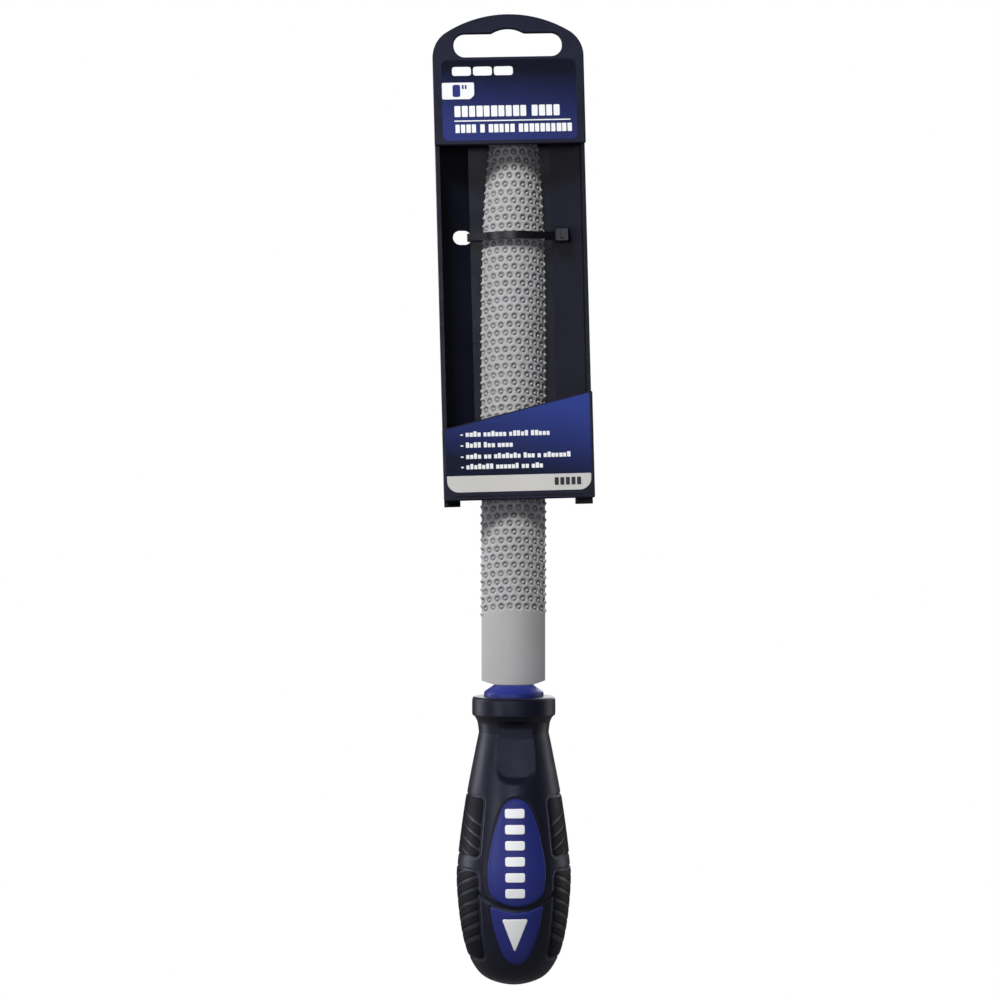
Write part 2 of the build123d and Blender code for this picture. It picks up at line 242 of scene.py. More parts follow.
class Nodes:
    """A material's node tree, with one short method for each kind of node it needs."""

    def __init__(self, name):
        self.material = bpy.data.materials.new(name)
        self.material.use_nodes = True
        self.tree = self.material.node_tree
        self.shader = self.tree.nodes["Principled BSDF"]
        self.place = self.add("ShaderNodeTexCoord").outputs["Object"]

    def add(self, kind, **values):
        node = self.tree.nodes.new(kind)
        for key, value in values.items():
            setattr(node, key, value)
        return node

    def link(self, source, target):
        self.tree.links.new(source, target)

    def noise(self, scale, detail=4.0, roughness=0.5):
        node = self.add("ShaderNodeTexNoise")
        self.link(self.place, node.inputs["Vector"])
        node.inputs["Scale"].default_value = scale
        node.inputs["Detail"].default_value = detail
        node.inputs["Roughness"].default_value = roughness
        return node.outputs["Fac"]

    def spread(self, source, low, high, to_low, to_high):
        """Maps a value from one range to another."""
        node = self.add("ShaderNodeMapRange")
        self.link(source, node.inputs["Value"])
        node.inputs["From Min"].default_value = low
        node.inputs["From Max"].default_value = high
        node.inputs["To Min"].default_value = to_low
        node.inputs["To Max"].default_value = to_high
        return node.outputs["Result"]

    def drift(self, scale, detail, to_low, to_high):
        """A value that wanders between two limits over the surface."""
        return self.spread(self.noise(scale, detail), NOISE_LOW, NOISE_HIGH, to_low, to_high)

    def math(self, operation, a, b):
        node = self.add("ShaderNodeMath", operation=operation)
        for socket, value in zip(node.inputs, (a, b)):
            if isinstance(value, (int, float)):
                socket.default_value = value
            else:
                self.link(value, socket)
        return node.outputs["Value"]

    def axis(self, letter):
        node = self.add("ShaderNodeSeparateXYZ")
        self.link(self.place, node.inputs["Vector"])
        return node.outputs[letter]

    def attribute(self, name):
        return self.add("ShaderNodeAttribute", attribute_name=name).outputs["Fac"]

    def mix(self, share, a, b):
        node = self.add("ShaderNodeMix", data_type="RGBA")
        self.link(share, node.inputs["Factor"])
        for socket, value in ((node.inputs[6], a), (node.inputs[7], b)):
            if isinstance(value, tuple):
                socket.default_value = (*value, 1)
            else:
                self.link(value, socket)
        return node.outputs[2]

    def bump(self, height, strength, distance):
        node = self.add("ShaderNodeBump")
        node.inputs["Strength"].default_value = strength
        node.inputs["Distance"].default_value = distance
        self.link(height, node.inputs["Height"])
        return node.outputs["Normal"]

    def finish(self, color, roughness, normal, **fixed):
        """Joins the shader's inputs; fixed values go straight onto their own sockets."""
        self.link(color, self.shader.inputs["Base Color"])
        self.link(roughness, self.shader.inputs["Roughness"])
        self.link(normal, self.shader.inputs["Normal"])
        for key, value in fixed.items():
            self.shader.inputs[key.replace("_", " ")].default_value = value
        return self.material


# ---------------------------------------------------------------- materials

COOL_TINT = (0.8, 0.84, 1.0, 1.0)
TONE_SCALE = 45
GLOSS_SCALE = 160
TREAD_GLOSS = (0.42, 0.55)
GROOVE_ROUGHNESS = 0.95


def moulded(name, dark, light, grain, rough, depth, **fixed):
    """Moulded plastic: fine surface grain, faint cloudy tone and uneven gloss."""
    n = Nodes(name)
    color = n.mix(n.drift(TONE_SCALE, 3, 0, 1), dark, light)
    normal = n.bump(n.noise(grain, 2, 0.6), 0.5, depth)
    return n.finish(color, n.drift(GLOSS_SCALE, 3, *rough), normal, **fixed)


def blade_material():
    """Bead-blasted steel: cloudy grey, with painted shade darkening the tooth pits and a painted
    highlight making the burr tops paler.
    """
    n = Nodes("blade_steel")
    cloud = n.noise(60, 4)
    fine = n.noise(2600, 2, 0.7)
    base = n.mix(
        n.spread(cloud, NOISE_LOW, NOISE_HIGH, 0, 1), (0.38, 0.375, 0.37), (0.41, 0.41, 0.43))
    speck = n.mix(n.spread(fine, 0.35, 0.7, 0, 0.4), base, (0.5, 0.5, 0.52))
    # Painted shade: the steel's colour goes dark in the tooth pits, from the pit attribute.
    pit_shade_painted = n.mix(n.math("MULTIPLY", n.attribute("pit"), 0.8), speck, (0.1, 0.1, 0.115))
    # Painted highlight: the burr tops are made paler, from the tip attribute.
    tip_highlight_and_rubbed_gloss = n.mix(n.math("MULTIPLY", n.attribute("tip"), 0.2), pit_shade_painted, (0.42, 0.42, 0.44))
    gloss = n.spread(cloud, NOISE_LOW, NOISE_HIGH, 0.55, 0.68)
    return n.finish(tip_highlight_and_rubbed_gloss, gloss, n.bump(fine, 0.35, 0.00005), Metallic=0.15)


def blue_material():
    return moulded(
        "core_blue", dark=(0.013, 0.019, 0.14), light=(0.018, 0.026, 0.18), grain=2200,
        rough=(0.36, 0.48), depth=0.00003, Specular_IOR_Level=0.3)


def grip_material():
    return moulded(
        "grip_black", dark=(0.004, 0.004, 0.011), light=(0.007, 0.007, 0.018), grain=1500,
        rough=(0.36, 0.46), depth=0.00008, Specular_IOR_Level=0.42, Specular_Tint=COOL_TINT)


def tread_material():
    """Matte black rubber, with painted shade darkening its grooves, and rough in them so they don't
    shine.
    """
    n = Nodes("tread_black")
    rib = n.spread(n.attribute("groove"), 0, 1, 1, 0)
    cloud = n.drift(TONE_SCALE, 3, 0, 1)
    # Painted shade: the colour goes to the darkest black in the grooves.
    color = n.mix(n.math("MULTIPLY", cloud, rib), (0.002, 0.002, 0.004), (0.004, 0.004, 0.01))
    tip_highlight_and_rubbed_gloss = n.drift(GLOSS_SCALE, 3, *TREAD_GLOSS)
    gloss = n.math("MAXIMUM", tip_highlight_and_rubbed_gloss, n.spread(rib, 0, 1, GROOVE_ROUGHNESS, TREAD_GLOSS[0]))
    return n.finish(
        color, gloss, n.bump(n.noise(1800, 2, 0.6), 0.5, 0.00008), Specular_IOR_Level=0.13,
        Specular_Tint=COOL_TINT)


def hanger_material():
    return moulded(
        "hanger_black", dark=(0.008, 0.009, 0.02), light=(0.014, 0.015, 0.034), grain=1900,
        rough=(0.38, 0.48), depth=0.00005, Specular_IOR_Level=0.2)


def tray_material():
    # Darker than the hanger plastic: painted shade for the deep channel behind the blade.
    return moulded(
        "tray_black_painted_shade", dark=(0.003, 0.003, 0.009), light=(0.006, 0.006, 0.015), grain=1900,
        rough=(0.3, 0.38), depth=0.00004, Specular_IOR_Level=0.2)


def tie_material():
    return moulded(
        "tie_black", dark=(0.003, 0.003, 0.007), light=(0.006, 0.006, 0.013), grain=900,
        rough=(0.28, 0.42), depth=0.00003)


def print_material():
    return moulded(
        "print_white", dark=(0.78, 0.8, 0.83), light=(0.84, 0.86, 0.89), grain=1500,
        rough=(0.35, 0.5), depth=0.00001)


def silver_material():
    return moulded(
        "print_silver", dark=(0.52, 0.52, 0.51), light=(0.56, 0.56, 0.555), grain=1500,
        rough=(0.32, 0.42), depth=0.00001)


def printed_card(n, tone):
    """Finish of a printed card over its tone: faint print grain and an uneven coat."""
    ink = n.mix(n.drift(900, 2, 0, 0.03), tone, (0.1, 0.12, 0.2))
    return n.finish(
        ink, n.drift(70, 3, 0.4, 0.5), n.bump(n.noise(1200, 2), 0.2, 0.00002),
        Specular_IOR_Level=0.1)


def header_label_material():
    """Printed card: black at the top, fading to blue towards the lower left."""
    n = Nodes("label_header")
    down = n.spread(n.axis("Z"), label_high.z - 0.004, label_low.z + 0.004, 0, 1)
    left = n.spread(n.axis("X"), label_high.x, label_low.x, 0, 1)
    glow = n.math("MULTIPLY", down, n.spread(left, 0, 1, 0.75, 1.25))
    tone = n.mix(n.spread(glow, 0, 1.1, 0, 1), (0.003, 0.004, 0.012), (0.024, 0.034, 0.165))
    return printed_card(n, tone)


def sleeve_label_material():
    """Printed card: bright blue at the upper right, fading to navy at the foot."""
    n = Nodes("label_sleeve")
    up = n.spread(n.axis("Z"), sleeve_low.z + 0.006, sleeve_high.z - 0.004, 0, 1)
    right = n.spread(n.axis("X"), sleeve_low.x, sleeve_high.x, 0, 1)
    glow = n.math("ADD", n.math("MULTIPLY", up, 0.8), n.math("MULTIPLY", right, 0.3))
    tone = n.mix(n.spread(glow, 0.2, 1.05, 0, 1), (0.005, 0.007, 0.022), (0.026, 0.045, 0.24))
    return printed_card(n, tone)


# ---------------------------------------------------------------- rasp blade

ROW_PITCH = 2.82
TOOTH_PITCH = 3.06
TOOTH_JITTER = 0.22
TEETH_LOW_Z = -199.6
ROW_ARCH = 0.9
ARCH_HALF_WIDTH = 10.5
PIT_RADIUS = 0.74
PIT_WIDTH = 0.33
PIT_DEPTH = 0.5
BURR_HEIGHT = 0.36
BURR_RADIUS = 0.5
BURR_SHIFT = 0.08
BACK_TOOTH_SHARE = 0.8
SPIKE_HEIGHT = 0.5
SPIKE_STAGGER = 4
FRONT_TABLE = (211, 31, 3)
BACK_TABLE = (197, 29, 3)
EDGE_THICK = 0.8
EDGE_SOFT = 0.12
TIP_WIDTH = 11.6
TIP_THICK = 3.6
TAPER_LENGTH = 86.0
TAPER_POWER = 2.5
TIP_ROUND = 7.0
TIP_ROWS = (0.05, 0.15, 0.32, 0.55, 0.85)
SHOULDER_RUN = 4.7
SHOULDER_RISE = 1.3
PLAIN_ROWS = 12
HEEL_ROWS = 6
ROW_STEP = 0.305
FRONT_COLUMNS = 88
BACK_COLUMNS = 56
EDGE_COLUMNS = 3
TANG = [(5.5, 2.2, -0.4), (5.2, 2.1, 6.0), (4.0, 1.8, 30.0), (2.3, 1.4, 59.4), (1.6, 0.9, 60.0)]

RIGHT_START = FRONT_COLUMNS
BACK_START = RIGHT_START + EDGE_COLUMNS
LEFT_START = BACK_START + BACK_COLUMNS
FRONT = slice(0, RIGHT_START)
RIGHT = slice(RIGHT_START, BACK_START)
BACK = slice(BACK_START, LEFT_START)
LEFT = slice(LEFT_START, None)


def tooth_lattice(u, z, table):
    """Each point's distance and offsets from its nearest tooth, and that tooth's random share."""
    arched = z - ROW_ARCH * (1 - (u / ARCH_HALF_WIDTH) ** 2)
    best = np.full(u.shape, FAR)
    across = np.full(u.shape, FAR)
    along = np.zeros(u.shape)
    share = np.zeros(u.shape)
    first = np.floor((arched - TEETH_LOW_Z) / ROW_PITCH).astype(int)
    for step in (0, 1):
        row = first + step
        shift = np.where(row % 2 == 0, 0.0, 0.5)
        column = np.round(u / TOOTH_PITCH - shift).astype(int)
        jitter = table[row % table.shape[0], column % table.shape[1]]
        du = u - (column + shift) * TOOTH_PITCH - TOOTH_JITTER * (jitter[..., 0] - 0.5)
        dz = arched - TEETH_LOW_Z - row * ROW_PITCH - TOOTH_JITTER * (jitter[..., 1] - 0.5)
        gap = np.hypot(du, dz)
        nearer = (gap < best) & (row > 0)
        best = np.where(nearer, gap, best)
        across = np.where(nearer, du, across)
        along = np.where(nearer, dz, along)
        share = np.where(nearer, jitter[..., 2], share)
    return best, across, along, share


def tooth_height(u, z, table):
    """Ring-shaped pits, deepest on the tip side, each round a burr: (height, share of a pit)."""
    gap, across, along, share = tooth_lattice(u, z, table)
    size = 0.85 + 0.3 * share
    ring = np.exp(-((gap - PIT_RADIUS) / PIT_WIDTH) ** 2)
    lead = 0.8 + 0.2 * along / np.maximum(gap, 0.05)
    burr_gap = np.hypot(across, along + BURR_SHIFT)
    burr = BURR_HEIGHT * size * (1 - smooth_step(burr_gap, 0.05, BURR_RADIUS))
    zone = smooth_step(z, TEETH_LOW_Z - 1.2, TEETH_LOW_Z + 0.8)
    pit = size * ring * lead
    return (burr - PIT_DEPTH * pit) * zone, pit * zone


def edge_spikes(zs):
    """Height of the teeth that stand out from the blade's thin edges."""
    phase = (zs - TEETH_LOW_Z) / ROW_PITCH + 0.25
    wave = np.abs((phase % 1) - 0.5) * 2
    return SPIKE_HEIGHT * smooth_step(wave, 0.45, 0.95) * (zs > TEETH_LOW_Z + 0.5)


def blade_rows():
    """Heights of the blade's rings, from the tip to the heel."""
    near_tip = TIP_Z - np.array(TIP_ROWS)
    teeth = np.arange(TIP_Z - 1.15, TEETH_LOW_Z - 1.5, -ROW_STEP)
    shoulder = HEEL_Z + SHOULDER_RISE
    plain = np.linspace(teeth[-1] - 0.8, shoulder + 0.1, PLAIN_ROWS)
    heel = np.linspace(shoulder, HEEL_Z, HEEL_ROWS)
    return np.concatenate([near_tip, teeth, plain, heel])


def blade_section(z):
    """Half-width, arc radius and arc centre of the blade at a height."""
    share = min((TIP_Z - z) / TAPER_LENGTH, 1)
    fullness = 1 - (1 - share) ** TAPER_POWER
    half = (TIP_WIDTH + (BLADE_WIDTH - TIP_WIDTH) * fullness) / 2
    thick = TIP_THICK + (BLADE_THICK - TIP_THICK) * fullness
    rise = thick - EDGE_THICK
    radius = (half * half + rise * rise) / (2 * rise)
    centre_y = FLAT_Y - thick + radius
    depth = TIP_Z - z
    if depth < TIP_ROUND:
        half = min(half, math.sqrt(max(TIP_ROUND ** 2 - (TIP_ROUND - depth) ** 2, 0)))
    above_heel = z - HEEL_Z
    if above_heel < SHOULDER_RISE:
        run = SHOULDER_RUN * (1 - above_heel / SHOULDER_RISE)
        half = min(half, BLADE_WIDTH / 2 - run)
    return half, radius, centre_y


def section_points(z):
    """Ring of a blade section: rows of x, y, outward normal x and y, and distance round it."""
    half, radius, centre_y = blade_section(z)
    reach = math.asin(min(half / radius, 1))
    soft = min(EDGE_SOFT, half * 0.2)
    angles = np.linspace(-reach, reach, FRONT_COLUMNS) * (1 - soft / max(half, 0.01) * 0.6)
    edge_y = centre_y - radius * math.cos(reach)
    front = np.stack([
        radius * np.sin(angles), centre_y - radius * np.cos(angles),
        np.sin(angles), -np.cos(angles), radius * angles], 1)
    edge_ys = np.linspace(edge_y + soft, FLAT_Y - soft, EDGE_COLUMNS)
    right = np.stack([
        np.full(EDGE_COLUMNS, half), edge_ys, np.ones(EDGE_COLUMNS),
        np.zeros(EDGE_COLUMNS), np.zeros(EDGE_COLUMNS)], 1)
    xs = np.linspace(half - soft, soft - half, BACK_COLUMNS)
    back = np.stack([
        xs, np.full(BACK_COLUMNS, FLAT_Y), np.zeros(BACK_COLUMNS), np.ones(BACK_COLUMNS), xs], 1)
    left = right[::-1] * np.array([-1, 1, -1, 1, 1])
    return np.vstack([front, right, back, left])


def tooth_relief(rings, zs):
    """Height of the teeth over the whole blade, and each point's share of a pit."""
    table_front = rng.random(FRONT_TABLE)
    table_back = rng.random(BACK_TABLE)
    height = np.zeros(zs.shape)
    shade = np.zeros(zs.shape)
    around = rings[:, FRONT, 4]
    front_height, shade[:, FRONT] = tooth_height(around, zs[:, FRONT], table_front)
    back_height, shade[:, BACK] = tooth_height(rings[:, BACK, 4], zs[:, BACK], table_back)
    corner = np.abs(rings[:, BACK, 0]).max(1, keepdims=True) - np.abs(rings[:, BACK, 0])
    height[:, BACK] = BACK_TOOTH_SHARE * back_height * smooth_step(corner, 0.1, 0.7)

    right_spike = edge_spikes(zs)
    left_spike = np.roll(right_spike, SPIKE_STAGGER, axis=0)
    height[:, RIGHT] = right_spike[:, RIGHT]
    height[:, LEFT] = left_spike[:, LEFT]
    side_gap = np.abs(around).max(1, keepdims=True) - np.abs(around)
    near_side = 1 - smooth_step(side_gap, 0.0, 0.9)
    side_spike = np.where(around > 0, right_spike[:, FRONT], left_spike[:, FRONT])
    height[:, FRONT] = front_height * (1 - near_side) + side_spike * near_side
    return height * smooth_step(TIP_Z - zs, 0.4, 2.0), shade


def tang_points():
    """Square rings of the tapered tang, from inside the heel down."""
    points = []
    for half_x, half_y, drop in TANG:
        for side_x, side_y in ((-1, -1), (1, -1), (1, 1), (-1, 1)):
            points.append((AXIS_X + side_x * half_x, AXIS_Y + side_y * half_y, HEEL_Z - drop))
    return points


def make_blade(material):
    rows = blade_rows()
    rings = np.array([section_points(z) for z in rows])
    zs = np.repeat(rows[:, None], rings.shape[1], 1)
    height, shade = tooth_relief(rings, zs)
    points = np.empty(zs.shape + (3,))
    points[..., 0] = AXIS_X + rings[..., 0] + height * rings[..., 2]
    points[..., 1] = rings[..., 1] + height * rings[..., 3]
    points[..., 2] = zs
    body = (points.reshape(-1, 3).tolist(), turned(capped_faces(len(rows), rings.shape[1])))
    tang = (tang_points(), turned(capped_faces(len(TANG), 4)))
    obj = make_object("rasp_blade", *join_parts([body, tang]))

    plain = np.zeros(len(tang[0]))
    # Share of each point that the steel's colour darkens as painted shade in the tooth pits.
    pit = smooth_step(shade.reshape(-1), 0.15, 0.8)
    # Share of each point that the steel's colour makes paler as a painted highlight on the burr
    # tops.
    tip = smooth_step(height.reshape(-1), 0.25, 0.4)
    set_attribute(obj, "pit", np.concatenate([pit, plain]))
    set_attribute(obj, "tip", np.concatenate([tip, plain]))
    obj.data.materials.append(material)
    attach(obj, "rasp")
    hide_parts("blade")


# ---------------------------------------------------------------- handle

FLANGE_HEIGHT = 6.6
FLANGE_RADIUS = 14.2
FLANGE_ROUND = 1.2
FLANGE_LOW_ROUND = 0.7
NECK_RADIUS = 11.9
HOLLOW_POINTS = [(13.5, 0.0), (12.85, 1.1), (12.4, 2.2), (12.1, 4.0), (11.95, 5.4)]
MOUTH_DEPTH = 0.6
COLLAR_TOP = 6.8
COLLAR_RADIUS = 10.2
COLLAR_CHAMFER = 2.3
COLLAR_FOOT = 9.0
LATHE_COLUMNS = 96
GRIP_COLUMNS = 300
GRIP_ROW_STEP = 0.42
LINE_STEPS = 26
GRIP_SHAPE = [
    (11.9, 86.3), (13.2, 79.9), (16.4, 62.9), (18.7, 45.9), (19.4, 35.6),
    (18.2, 21.9), (16.0, 11.9), (12.4, 5.0), (7.6, 1.6), (0.0, 0.0)]
FACING_LEAST = 0.2
THUMB_HALF = 6.9
THUMB_TOP_Z = -228.0
THUMB_LOW_Z = -255.1
THUMB_ROUND = 5.0
THUMB_HEAD_ZS = (-234.0, -237.0)
THUMB_FOOT_ZS = (-250.0, -254.0)
THUMB_FLOOR_Y = 10.8
THUMB_FLOOR_Z = -242.0
THUMB_FLOOR_SLOPE = 0.2
THUMB_FLOOR_LEAST = 10.45
THUMB_DEPTH = 2.6
BAND_MIDDLE_Z = -296.85
BAND_RISE = 0.029
BAND_DEPTH = 0.55
BAND_WIDTH = 0.6
TREAD_WRAP = math.radians(48.5)
TREAD_SIDE_POINTS = 9
TREAD_CORNER = 3.0
TREADS = {"upper": (-259.8, -279.9, 1), "lower": (-284.4, -314.8, -1)}

WINDOW_POINTS = 132
UPPER_HALF = [
    (0, -259.9), (3.1, -261.0), (5.3, -264.3), (7.3, -270.0), (8.5, -275.2), (9.5, -280.4),
    (9.8, -284.2), (9.7, -288.0), (9.1, -291.4), (7.6, -293.5), (4.0, -295.3), (0, -295.9)]
LOWER_HALF = [
    (0, -297.8), (4.6, -297.2), (8.0, -296.1), (8.8, -296.6), (8.1, -302.0),
    (6.9, -306.4), (5.4, -310.7), (3.6, -314.2), (1.8, -315.6), (0, -316.0)]
UPPER_PAD_MIDDLE = (0, -281.0)
LOWER_PAD_MIDDLE = (0, -304.5)
PAD_RISE = 0.25
PAD_RINGS = [
    (0.99, -1.2), (0.99, -0.3), (0.992, -0.05), (0.985, 0.1), (0.965, 0.19), (0.9, 0.24)]
PAD_RINGS += [(scale, PAD_RISE) for scale in (0.78, 0.62, 0.46, 0.3, 0.12)]
PRINT_RISE = 0.335
PRINT_RINGS = [(1.0, 0.2), (1.0, 0.3), (0.985, 0.33)]
PRINT_RINGS += [(scale, PRINT_RISE) for scale in (0.9, 0.6, 0.3, 0.08)]


def grip_line():
    """Points down the grip's side, below its hollow neck: (radius, z)."""
    points = [(radius, END_Z + height) for radius, height in GRIP_SHAPE]
    start = (NECK_RADIUS - 0.02, points[0][1] + 2.0)
    end = (-points[-2][0], points[-2][1])
    line = catmull([start] + points + [end], LINE_STEPS)
    return line[LINE_STEPS:-LINE_STEPS]


GRIP_LINE = grip_line()


def grip_radius(z):
    return np.interp(-np.asarray(z, float), -GRIP_LINE[:, 1], GRIP_LINE[:, 0])


def window_outline(half):
    """Outline of a window in the grip from the points of its right half, top to bottom."""
    mirrored = [(-x, z) for x, z in reversed(half[1:-1])]
    return resample(catmull(half + mirrored, 10, closed=True), WINDOW_POINTS)


UPPER_WINDOW = window_outline(UPPER_HALF)
LOWER_WINDOW = window_outline(LOWER_HALF)


def tread_outline(top_z, low_z):
    """Patch outline in (distance round the grip from its side, z)."""
    heights = np.linspace(top_z, low_z, TREAD_SIDE_POINTS)
    front = [(-TREAD_WRAP * float(grip_radius(z)), z) for z in heights]
    rear = [(-around, z) for around, z in reversed(front)]
    loop = np.array(front + rear)
    corners = (0, TREAD_SIDE_POINTS - 1, TREAD_SIDE_POINTS, len(loop) - 1)
    outline = []
    for index, point in enumerate(loop):
        if index in corners:
            before = loop[index - 1] - point
            after = loop[(index + 1) % len(loop)] - point
            reaches = [min(TREAD_CORNER, 0.9 * np.hypot(*side)) for side in (before, after)]
            outline += corner_curve(point, before, after, reaches, 7)
        else:
            outline.append(point)
    return np.array(outline)


def arc_rows(radius, z, turn_radius, start, end):
    """Points of an arc about (radius, z), from one angle above level to another, in degrees."""
    angles = np.radians(np.linspace(start, end, 6))
    return [(radius + turn_radius * math.cos(a), z + turn_radius * math.sin(a)) for a in angles]


def grip_profile():
    """Rows of the grip mesh from its mouth to its butt: (radius, z)."""
    low = FLANGE_Z - FLANGE_HEIGHT
    rows = [
        (COLLAR_RADIUS - 0.4, FLANGE_Z - MOUTH_DEPTH), (COLLAR_RADIUS + 0.1, FLANGE_Z),
        (11.0, FLANGE_Z), (FLANGE_RADIUS - FLANGE_ROUND, FLANGE_Z)]
    rows += arc_rows(FLANGE_RADIUS - FLANGE_ROUND, FLANGE_Z - FLANGE_ROUND, FLANGE_ROUND, 75, 0)
    rows += [(FLANGE_RADIUS + 0.03, z) for z in np.linspace(FLANGE_Z - 2.2, low + 1.4, 5)]
    rows += arc_rows(
        FLANGE_RADIUS - FLANGE_LOW_ROUND, low + FLANGE_LOW_ROUND, FLANGE_LOW_ROUND, 0, -90)
    hollow = catmull([(radius, low - drop) for radius, drop in HOLLOW_POINTS], 5)
    return even_rows(np.vstack([rows, hollow[1:-1], GRIP_LINE]), GRIP_ROW_STEP)


def even_rows(points, step):
    """Profile points with long spans divided to about the given step."""
    out = [points[0]]
    for a, b in zip(points, points[1:]):
        parts = max(1, round(np.hypot(*(b - a)) / step))
        for part in range(1, parts + 1):
            out.append(a + (b - a) * part / parts)
    return np.array(out)


def dent(gap, depth, middle, width):
    """Depth of a soft groove that is deepest at a given distance from an outline."""
    return depth * np.exp(-((gap - middle) / width) ** 2)


def thumb_rest(theta, x, z, radius):
    """Depth of the flat-floored rest at the front, under the flange."""
    corners = [
        (-THUMB_HALF, THUMB_TOP_Z), (THUMB_HALF, THUMB_TOP_Z),
        (THUMB_HALF, THUMB_LOW_Z), (-THUMB_HALF, THUMB_LOW_Z)]
    gap = signed_distance(x, z, rounded_outline(corners, THUMB_ROUND, 7))
    floor_y = THUMB_FLOOR_Y + (THUMB_FLOOR_Z - z) * THUMB_FLOOR_SLOPE
    floor_y = np.maximum(floor_y, THUMB_FLOOR_LEAST)
    reach = np.maximum(radius - floor_y / np.maximum(np.cos(theta), 0.3), 0)
    foot = smooth_step(z, *THUMB_FOOT_ZS)
    mask = (1 - smooth_step(gap, -0.5 - 2.0 * foot, 0.3)) * smooth_step(z, *THUMB_HEAD_ZS)
    near = (np.cos(theta) > FACING_LEAST) & (gap < 3)
    return np.where(near, mask * np.minimum(reach, THUMB_DEPTH), 0)


def grip_depth(theta, x, z, radius):
    """Depth cut into the plain grip: thumb rest, and grooves round the windows and treads."""
    depth = thumb_rest(theta, x, z, radius)
    facing = np.abs(np.cos(theta)) > FACING_LEAST
    for outline in (UPPER_WINDOW, LOWER_WINDOW):
        gap = signed_distance(x, z, outline)
        depth += np.where(facing, dent(gap, 0.32, 0.15, 0.42), 0)
    band_z = BAND_MIDDLE_Z + BAND_RISE * x ** 2
    band = dent(z - band_z, BAND_DEPTH, 0, BAND_WIDTH) * (1 - smooth_step(np.abs(x), 12.2, 14.2))
    depth += np.where(facing, band, 0)
    around = np.arcsin(np.clip(np.abs(np.cos(theta)), 0, 1)) * radius * np.sign(-np.cos(theta))
    for top_z, low_z, _ in TREADS.values():
        gap = signed_distance(around, z, tread_outline(top_z, low_z))
        depth += dent(gap, 0.3, 0.1, 0.45)
    return depth


def make_grip(material):
    rows = grip_profile()
    slopes = np.gradient(rows, axis=0)
    lengths = np.hypot(slopes[:, 0], slopes[:, 1])
    normals = np.stack([-slopes[:, 1] / lengths, slopes[:, 0] / lengths], 1)
    keep = rows[:, 0] > 0.25
    rows, normals = rows[keep], normals[keep]
    theta = np.linspace(0, 2 * math.pi, GRIP_COLUMNS, endpoint=False)
    angle, radius = np.meshgrid(theta, rows[:, 0])
    z = np.repeat(rows[:, 1][:, None], GRIP_COLUMNS, 1)
    below = z < FLANGE_Z - FLANGE_HEIGHT - 0.4
    depth = np.where(below, grip_depth(angle, radius * np.sin(angle), z, radius), 0)
    r = radius - depth * normals[:, :1]
    height = z - depth * normals[:, 1:]
    points = np.stack([AXIS_X + r * np.sin(angle), AXIS_Y - r * np.cos(angle), height], -1)
    vertices = points.reshape(-1, 3).tolist()
    butt = len(vertices)
    vertices += [(AXIS_X, AXIS_Y, END_Z), (AXIS_X, AXIS_Y, FLANGE_Z - MOUTH_DEPTH)]
    faces = turned(grid_faces(len(rows), GRIP_COLUMNS))
    faces += turned(fan_faces(butt - GRIP_COLUMNS, GRIP_COLUMNS, butt))
    faces += fan_faces(0, GRIP_COLUMNS, butt + 1)
    obj = make_object("soft_grip", vertices, faces)
    obj.data.materials.append(material)
    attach(obj, "rasp")
    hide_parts("grip_shell")


def raised_pad(outline, rings, facing, centre=None):
    """Pad on the grip's front (facing 1) or back (-1): rings are (scale, height) pairs."""
    centre = outline.mean(0) if centre is None else np.array(centre)
    vertices = []
    for scale, height in rings:
        ring = centre + (outline - centre) * scale
        r = grip_radius(ring[:, 1]) + height
        y = np.sqrt(np.maximum(r ** 2 - ring[:, 0] ** 2, 0.01))
        for (px, pz), py in zip(ring, y):
            vertices.append((AXIS_X + px, AXIS_Y - facing * py, pz))
    faces = capped_faces(len(rings), len(outline))
    return vertices, turned(faces) if facing > 0 else faces


def lathe(profile):
    """Closed turned shape about the handle's axis from (radius, z) points, top to bottom."""
    vertices = []
    for radius, z in profile:
        for step in range(LATHE_COLUMNS):
            angle = 2 * math.pi * step / LATHE_COLUMNS
            vertices.append((
                AXIS_X + radius * math.sin(angle), AXIS_Y - radius * math.cos(angle), z))
    return vertices, turned(capped_faces(len(profile), LATHE_COLUMNS))


def make_core(material):
    chamfer_z = HEEL_Z - COLLAR_CHAMFER
    collar = [
        (2.0, HEEL_Z), (COLLAR_TOP - 0.5, HEEL_Z), (COLLAR_TOP - 0.1, HEEL_Z - 0.06),
        (COLLAR_TOP + 0.3, HEEL_Z - 0.3), (COLLAR_RADIUS - 0.5, chamfer_z + 0.3),
        (COLLAR_RADIUS - 0.12, chamfer_z - 0.15), (COLLAR_RADIUS, chamfer_z - 0.7),
        (COLLAR_RADIUS, FLANGE_Z - 0.5), (COLLAR_RADIUS, FLANGE_Z - 6),
        (NECK_RADIUS - 3.2, FLANGE_Z - COLLAR_FOOT), (2.0, FLANGE_Z - COLLAR_FOOT)]
    parts = [lathe(collar)]
    for facing in (1, -1):
        parts.append(raised_pad(UPPER_WINDOW, PAD_RINGS, facing, UPPER_PAD_MIDDLE))
        parts.append(raised_pad(LOWER_WINDOW, PAD_RINGS, facing, LOWER_PAD_MIDDLE))
    obj = make_object("handle_core_shown", *join_parts(parts))
    obj.data.materials.append(material)
    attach(obj, "rasp")
    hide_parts("handle_core")


# ---------------------------------------------------------------- white marks

MARK_X = -0.7
GRADE_TOP_Z = -264.8
GRADE_PITCH = 5.3
GRADE_COUNT = 6
GRADE_WIDTH = 6.6
GRADE_HEIGHT = 3.1
POINTER_HALF = 4.4
POINTER_TOP_Z = -300.0
POINTER_LOW_Z = -311.4


